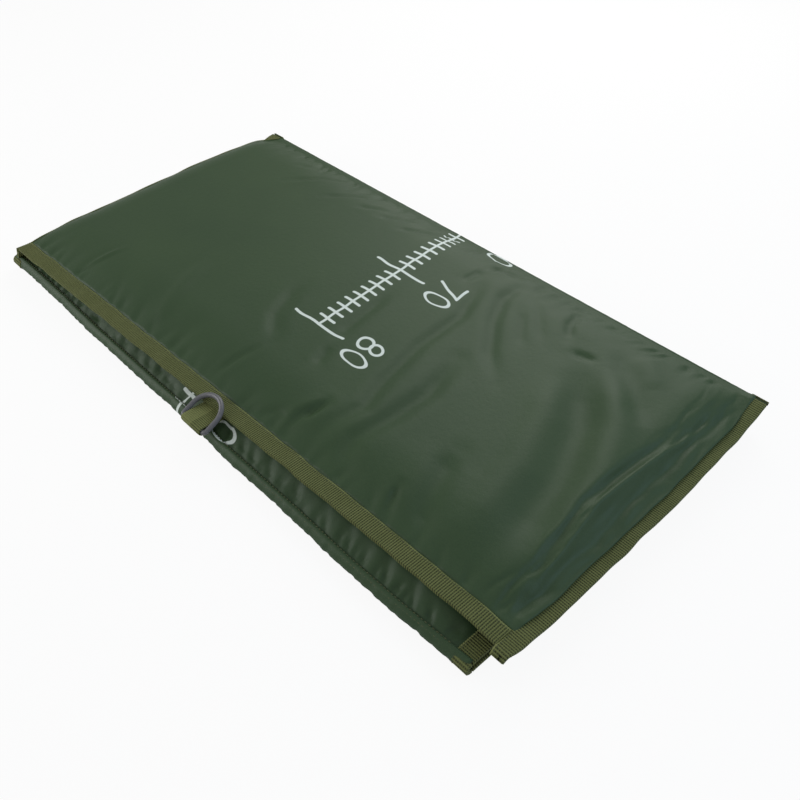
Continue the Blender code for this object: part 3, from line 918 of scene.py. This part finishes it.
def close_ends(piece):
    """Join the vertices that lie on each other, and fill the open ends."""
    bpy.ops.object.mode_set(mode="EDIT")
    bpy.ops.mesh.select_all(action="SELECT")
    bpy.ops.mesh.remove_doubles(threshold=0.00001)
    bpy.ops.mesh.select_non_manifold()
    bpy.ops.mesh.fill_holes(sides=0)
    bpy.ops.mesh.select_all(action="SELECT")
    bpy.ops.mesh.normals_make_consistent(inside=False)
    bpy.ops.object.mode_set(mode="OBJECT")
    piece.data.shade_smooth()


def tape_piece(name, stations, body, node, sway=0.0004, seed=1, narrow=0.0):
    """Bend the tape along stations of (point, outward direction, cloth normal).

    Its face is narrower by the given length where it starts, as at a corner where it is turned in.
    """
    spots, outs, normals = (np.array(part, dtype=float) for part in zip(*stations))
    steps = lengths_along(spots)
    count = max(12, int(steps[-1] / 0.00048))
    run = np.linspace(0, steps[-1], count)
    spots, outs, normals = (at_lengths(run, steps, part) for part in (spots, outs, normals))
    outs, normals = unit(outs), unit(normals)
    ends = ramp(np.minimum(run, steps[-1] - run), 0.02)
    spots = spots + outs * (sway * ends * ripple(run, 0.045, seed))[:, None]
    spots = spots + normals * (sway * ends * ripple(run, 0.06, seed + 1))[:, None]

    section, outside = tape_section()
    around = len(section)
    rib = 0.00013 * np.cos(2 * np.pi * run / TAPE_RIB)
    lift = np.sign(section[:, 1]) * (np.abs(section[:, 1]) > HEM / 2 + 0.0005)
    turned_in = narrow * (1 - ramp(run, TURN_REACH))[:, None]
    outward = section[None, :, 0] + turned_in * (section[None, :, 0] < -0.006)
    points = (
        spots[:, None, :] + outs[:, None, :] * outward[:, :, None]
        + normals[:, None, :] * (section[None, :, 1, None] + rib[:, None, None] * lift[None, :, None])
    )
    piece, a, b = grid_piece(name, (count - 1, around))
    column = np.rint(a * (count - 1)).astype(int)
    row = np.rint(b * around).astype(int)
    place_vertices(piece, points[column, row % around])
    girth = lengths_along(section)
    middle = girth[outside - 1] / 2
    girth = np.append(girth, girth[-1] + 0.001)
    write_uv(piece, np.stack([run[column], (np.abs(girth[row] - middle) - middle) + TAPE_FACE], axis=-1))
    close_ends(piece)
    dress(piece, binding_tape)
    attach(piece, body)
    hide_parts(node)
    for face in (-1, 1):
        sew(body, spots + outs * (turned_in - TAPE_FACE + STITCH_INSET) + face * normals * TAPE_HALF, normals)


def side_stations(pad, side):
    start_gap = -TAPE_BACK if pad["hangs"] else INNER_CUT
    end_gap = OUTER_CUT if pad["hinged"] else -TAPE_BACK
    length = pad_length(pad)
    shares = np.linspace(start_gap / length, 1 - end_gap / length, 60)
    x, y = pad_plan(pad, shares, side)
    z = pad_middle(pad, shares, side)
    tilt = hang_angle(x) if pad["hangs"] and side else np.zeros_like(x)
    out = 2 * side - 1
    return [
        ((a, b, c), (0, out * math.cos(t), -math.sin(t)), (0, math.sin(t), math.cos(t)))
        for a, b, c, t in zip(x, y, z, tilt)
    ]


def end_stations(pad, along):
    """Stations between the two side tapes. On the top pad they start further out, under the loose end."""
    margin = TAPE_FACE + TAPE_BACK
    first = margin - (0.0042 if pad["hangs"] else 0)
    shares = np.linspace(first / MAT_WIDTH, 1 - margin / MAT_WIDTH, 90)
    x, y = pad_plan(pad, along, shares)
    z = pad_middle(pad, along, shares)
    return [((a, b, c), (2 * along - 1, 0, 0), (0, 0, 1)) for a, b, c in zip(x, y, z)]


def turned_down(stations):
    """The stations with a short tail before them that drops and turns down."""
    (x, y, z), out, _ = stations[0]
    tail = [
        ((x - TAIL_REACH * k, y + TAIL_IN * k, z - TAIL_DROP * k * k), out, (-TAIL_TURN * k, 0, 1))
        for k in (1, 0.75, 0.5, 0.25)
    ]
    return tail + stations


binding_tape = tape_material("binding_tape", TAPE_RIB)

for pad_name, pad in PADS.items():
    for side, side_name in ((0, "right"), (1, "left")):
        stations = side_stations(pad, side)
        loose_end = pad_name == "top" and side == 0
        tape_piece(
            f"{pad_name}_binding_{side_name}", turned_down(stations) if loose_end else stations, pad["body"],
            f"{pad_name}_tape_{side_name}", seed=5 + side, narrow=TURN_NARROW if loose_end else 0.0,
        )
tape_piece("inner_binding_end", end_stations(PADS["inner"], 1), "lower_mat", "inner_tape_end", seed=9)
tape_piece("top_binding_end", end_stations(PADS["top"], 0), "top_panel", "top_tape_end", seed=12)


# Fold bands
# Between two pads the covers are sewn flat together, and the mat folds on that strip of nylon. Its inside
# is the backing cloth. Loops of the same tape bind its two ends.

# Each fold's side, the heights that it joins, how far it bulges, its waver's swell and pitch, where its
# loops of tape start, and the pad above it
FOLDS = {
    "inner": dict(
        side=-1, heights=(0.005, 0.0126), bulge=0.0050, waver=(0.0005, 0.0110), cut=INNER_CUT,
        body="lower_mat", joins="inner",
    ),
    "outer": dict(
        side=1, heights=(0.0064, 0.0330), bulge=0.0039, waver=(0.0004, 0.012), cut=OUTER_CUT,
        body="outer_fold", joins="top",
    ),
}
BAND_STEPS = 22
BAND_CELLS = 260
BAND_LEAD = 0.001

# How far the inner fold's last edge laps over the pad, and how far its upper half is lifted
BAND_LAP = 0.0008
BAND_LIFT = 0.0021

# The inner fold's two rows of stitches: which step of the band, and how far up and out they lie
BAND_SEAMS = ((-4, 0.0008, 0.0), (-1, 0.0021, 0.0004))
BAND_SEAM_SPOTS = 200
BAND_SEAM_MARGIN = 0.016


def band_path(fold, gap):
    """Points and outward normals of the band's middle surface, from the lower pad to the upper one."""
    side, (low, high), bulge = fold["side"], fold["heights"], fold["bulge"] - BAND_LEAD
    half = (high - low) / 2
    first = math.asin(max(gap - BAND_LEAD, 0) / bulge)
    angles = first + (math.pi - 2 * first) * np.arange(BAND_STEPS + 1) / BAND_STEPS
    fold_x = OUTER_FOLD_X if side > 0 else INNER_FOLD_X
    x = fold_x + side * (BAND_LEAD + bulge * np.sin(angles))
    z = (low + high) / 2 - half * np.cos(angles)
    normals = unit(np.stack([side * half * np.sin(angles), 0 * x, -bulge * np.cos(angles)], axis=-1))
    normals[0], normals[-1] = (0, 0, -1), (0, 0, 1)
    x = np.concatenate([[fold_x + side * gap], x, [fold_x + side * gap]])
    z = np.concatenate([z[:1], z, z[-1:]])
    normals = np.concatenate([normals[:1], normals, normals[-1:]])
    return np.stack([x, 0 * x, z], axis=-1), normals


def tuck_at(height):
    """How far in the outer fold's right end sits. Its lower part is drawn in under the top pad."""
    return LOWER_RIGHT_TUCK[-1][1] * ramp(0.033 - height, 0.0266)


for fold_name, fold in FOLDS.items():
    side, inner = fold["side"], fold_name == "inner"
    path, normals = band_path(fold, 0.0)
    middle_y = MIDDLE_Y + lean(INNER_FOLD_X if inner else OUTER_FOLD_X)
    band, along, across = grid_piece(f"{fold_name}_fold_cloth", (len(path) - 1, BAND_CELLS))
    column = np.rint(along * (len(path) - 1)).astype(int)
    run = column / (len(path) - 1)
    lapped = path.copy()
    lapped[-1, 0] += BAND_LAP if inner else 0.0
    points = lapped[column]
    points[:, 1] = middle_y + MAT_WIDTH * (across - 0.5)
    if inner:
        points[:, 0] -= bowed(INNER_FOLD_BOW, MAT_WIDTH * (across - 0.5))
        points[:, 2] += BAND_LIFT * ramp(run - 0.6, 0.4) ** 1.5
    else:
        points[:, 1] += tuck_at(points[:, 2]) * (1 - ramp(across * MAT_WIDTH, RIGHT_REACH))
    swell, pitch = fold["waver"]
    waver = swell * ripple(points[:, 1], pitch, 71) + 0.0004 * ripple(points[:, 1], 0.06, 72)
    points[:, 0] += side * np.sin(np.pi * run) * waver
    place_vertices(band, points)
    done = lengths_along(lapped)
    write_uv(band, ruler_place(f"{fold_name}_fold", points[:, 0], points[:, 1], done[column] / done[-1]))
    finish_cloth(band, HEM, 0)
    dress(band, printed_nylon)
    band.data.materials.append(backing_cloth)
    for face in band.data.polygons:
        from_axis = face.center - Vector((path[0, 0] - side * 0.004, 0, sum(fold["heights"]) / 2))
        from_axis.y = 0
        face.material_index = int(face.normal.dot(from_axis) < 0)
    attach(band, fold["body"])
    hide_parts(f"{fold_name}_fold_band")
    for k, up, out in BAND_SEAMS if inner else ():
        places = np.linspace(BAND_SEAM_MARGIN, MAT_WIDTH - BAND_SEAM_MARGIN, BAND_SEAM_SPOTS) - MAT_WIDTH / 2
        row = np.repeat(path[k][None, :], BAND_SEAM_SPOTS, axis=0)
        row[:, 0] += out - bowed(INNER_FOLD_BOW, places)
        row[:, 1] = middle_y + places
        row += normals[k] * (HEM / 2 + up)
        sew(fold["body"], row, np.repeat(normals[k][None, :], BAND_SEAM_SPOTS, axis=0))
    path, normals = band_path(fold, fold["cut"])
    for end, end_name in ((0, "right"), (1, "left")):
        edge_y = middle_y + (end - 0.5) * MAT_WIDTH
        stations = []
        for (x, _, z), normal in zip(path[1:-1], normals[1:-1]):
            tuck = 0 if inner or end else tuck_at(z)
            stations.append(((x, edge_y + tuck, z), (0, 2 * end - 1, 0), tuple(normal)))
        tape_piece(
            f"{fold_name}_fold_binding_{end_name}", stations, fold["body"],
            f"{fold_name}_fold_tape_{end_name}", sway=0.0,
        )


# Stitching
# Dark olive thread, sewn by machine in short stitches along the inner edge of every tape and along the
# inner fold. Its places were kept while the tapes and bands were made, one row to each face.

# Half a stitch's length, width and height
STITCH_HALVES = (0.0012, 0.00038, 0.00034)
THREAD_DARK = (0.055, 0.070, 0.027, 1)
THREAD_LIGHT = (0.105, 0.120, 0.048, 1)

thread, tree, shader, _ = speckled("thread", 0.7, THREAD_DARK, THREAD_LIGHT, 300, 2)
bump(tree, shader, noise_at(tree, 3000, 2), 0.0001, 0.6)

for body, rows in SEAMS.items():
    bpy.ops.object.select_all(action="DESELECT")
    bpy.ops.mesh.primitive_uv_sphere_add(segments=6, ring_count=4, radius=1)
    stitches = bpy.context.object
    stitches.name = f"{body}_stitching"
    pattern = np.array([vertex.co for vertex in stitches.data.vertices])
    faces = [tuple(face.vertices) for face in stitches.data.polygons]
    place, ahead, up = (np.concatenate(part) for part in zip(*rows))
    ahead = unit(ahead)
    up = unit(up - ahead * np.sum(up * ahead, axis=1)[:, None])
    points = np.repeat(place[:, None, :], len(pattern), axis=1)
    for half, axis, share in zip(STITCH_HALVES, (ahead, np.cross(up, ahead), up), pattern.T):
        points += half * share[None, :, None] * axis[:, None, :]
    repeated = [
        tuple(len(pattern) * k + corner for corner in face) for k in range(len(place)) for face in faces
    ]
    stitches.data.clear_geometry()
    stitches.data.from_pydata(points.reshape(-1, 3).tolist(), [], repeated)
    stitches.data.shade_smooth()
    dress(stitches, thread)
    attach(stitches, body)


# D-ring
# A ring of moulded grey plastic with a straight bar, which turns inside the loop of webbing. Its form is the
# solid's own. Only its colour and its fine scuffs are added here.

RING_DARK = (0.10, 0.10, 0.11, 1)
RING_LIGHT = (0.17, 0.17, 0.18, 1)

ring_plastic, tree, shader, scuff = speckled("ring_plastic", 0.38, RING_DARK, RING_LIGHT, 400, 3)
bump(tree, shader, scuff, 0.00008, 0.4)

ring_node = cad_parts["d_ring"]
ring_node.data.materials.clear()
ring_node.data.materials.append(ring_plastic)


# Webbing tab
# Ribbed olive webbing, 25 mm wide, folded round the ring's bar. Its two ends lie on each other and are sewn
# together under the end binding.

TAB_WIDTH = 0.025
TAB_THICK = 0.0012
TAB_MIDDLE_Y = -0.015633
TAB_RIB = 0.0017
TAB_CELLS = (259, 26)
BAR_X, BAR_Z = -0.163252, 0.02245
SEWN_X, SEWN_Z = -0.142952, 0.02395
LOOP_RADIUS = 0.0030
LEAF_LENGTH = 0.009
LEAF_APART = 0.00075

webbing = tape_material("webbing", TAB_RIB)

slope = math.atan2(SEWN_Z - BAR_Z, SEWN_X - BAR_X)
turns = slope + math.pi / 2 + np.linspace(0, math.pi, 19)
bend = np.stack([BAR_X + LOOP_RADIUS * np.cos(turns), BAR_Z + LOOP_RADIUS * np.sin(turns)], axis=-1)
leaves = [(SEWN_X + LEAF_LENGTH, SEWN_Z + LEAF_APART), (SEWN_X, SEWN_Z + LEAF_APART)]
corners = np.concatenate([leaves, bend, [(x, 2 * SEWN_Z - z) for x, z in reversed(leaves)]])
steps = lengths_along(corners)
run = np.linspace(0, steps[-1], TAB_CELLS[0] + 1)
line = at_lengths(run, steps, corners)
facing = unit(np.stack([np.gradient(line[:, 1]), -np.gradient(line[:, 0])], axis=-1))
tab, along, across = grid_piece("webbing_tab", TAB_CELLS)
column = np.rint(along * TAB_CELLS[0]).astype(int)
relief = 0.00010 * np.cos(2 * np.pi * run[column] / TAB_RIB) - 0.0003 * np.abs(2 * across - 1) ** 12
x, z = (line[column] + facing[column] * relief[:, None]).T
place_vertices(tab, np.stack([x, TAB_MIDDLE_Y + TAB_WIDTH * (across - 0.5), z], axis=-1))
write_uv(tab, np.stack([run[column], across * TAB_WIDTH], axis=-1))
finish_cloth(tab, TAB_THICK, 0)
dress(tab, webbing)
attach(tab, "top_panel")
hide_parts("ring_tab")


# Studio
# A white floor and backdrop, three soft lamps, and the camera where the photograph was taken. Seen from it,
# one lamp stands behind on the right, one on the left, and a weak cool one on the right.

FLOOR_WHITE = 0.92
FLOOR_GLOW = 0.92
WORLD_SEEN = 1.0
WORLD_LIGHT = 0.40

# Each lamp's place, size in metres, power in watts and colour. All point at the middle of the mat.
LAMPS = {
    "side_lamp": ((0.80, 0.32, 0.64), 0.8, 4.7, (1, 1, 0.96)),
    "back_lamp": ((-0.90, 0.95, 0.50), 0.7, 6.2, (1, 1, 1)),
    "cool_lamp": ((0.34, -0.80, 0.58), 0.5, 1.9, (0.45, 0.68, 1.0)),
}
CAMERA_SPOT = (-0.3698, -0.4864, 0.5082)
CAMERA_TURN = (46.29654, 1.13147, -43.14621)

bpy.ops.mesh.primitive_plane_add(size=8, location=(0, 0, -0.0002))
floor = bpy.context.object
floor.name = "floor"
white, tree, shader = start_material("white_sweep", 0.9)
fill(tree, shader, Base_Color=(FLOOR_WHITE, FLOOR_WHITE, FLOOR_WHITE, 1))
glow = tree.nodes.new("ShaderNodeEmission")
rays = tree.nodes.new("ShaderNodeLightPath")
blend = tree.nodes.new("ShaderNodeMixShader")
tree.links.new(calc(tree, "MULTIPLY", rays.outputs["Is Camera Ray"], FLOOR_GLOW), blend.inputs["Fac"])
tree.links.new(shader.outputs[0], blend.inputs[1])
tree.links.new(glow.outputs[0], blend.inputs[2])
tree.links.new(blend.outputs[0], tree.nodes["Material Output"].inputs["Surface"])
floor.data.materials.append(white)

world = bpy.data.worlds.new("studio")
bpy.context.scene.world = world
world.use_nodes = True
tree = world.node_tree
rays = tree.nodes.new("ShaderNodeLightPath")
level = calc(tree, "MULTIPLY_ADD", rays.outputs["Is Camera Ray"], WORLD_SEEN - WORLD_LIGHT, WORLD_LIGHT)
fill(tree, tree.nodes["Background"], Color=(1, 1, 1, 1), Strength=level)

for name, (spot, size, power, colour) in LAMPS.items():
    lamp = bpy.data.lights.new(name, "AREA")
    lamp.size = size
    lamp.energy = power
    lamp.color = colour
    holder = bpy.data.objects.new(name, lamp)
    bpy.context.scene.collection.objects.link(holder)
    holder.location = spot
    holder.rotation_euler = (-Vector(spot)).to_track_quat("-Z", "Y").to_euler()

camera = bpy.data.objects.new("camera", bpy.data.cameras.new("camera"))
bpy.context.scene.collection.objects.link(camera)
camera.location = CAMERA_SPOT
camera.rotation_euler = [math.radians(angle) for angle in CAMERA_TURN]
camera.data.sensor_width = 36
camera.data.lens = 39.6
camera.data.clip_start = 0.02
bpy.context.scene.camera = camera
bpy.context.scene.view_settings.view_transform = "Standard"
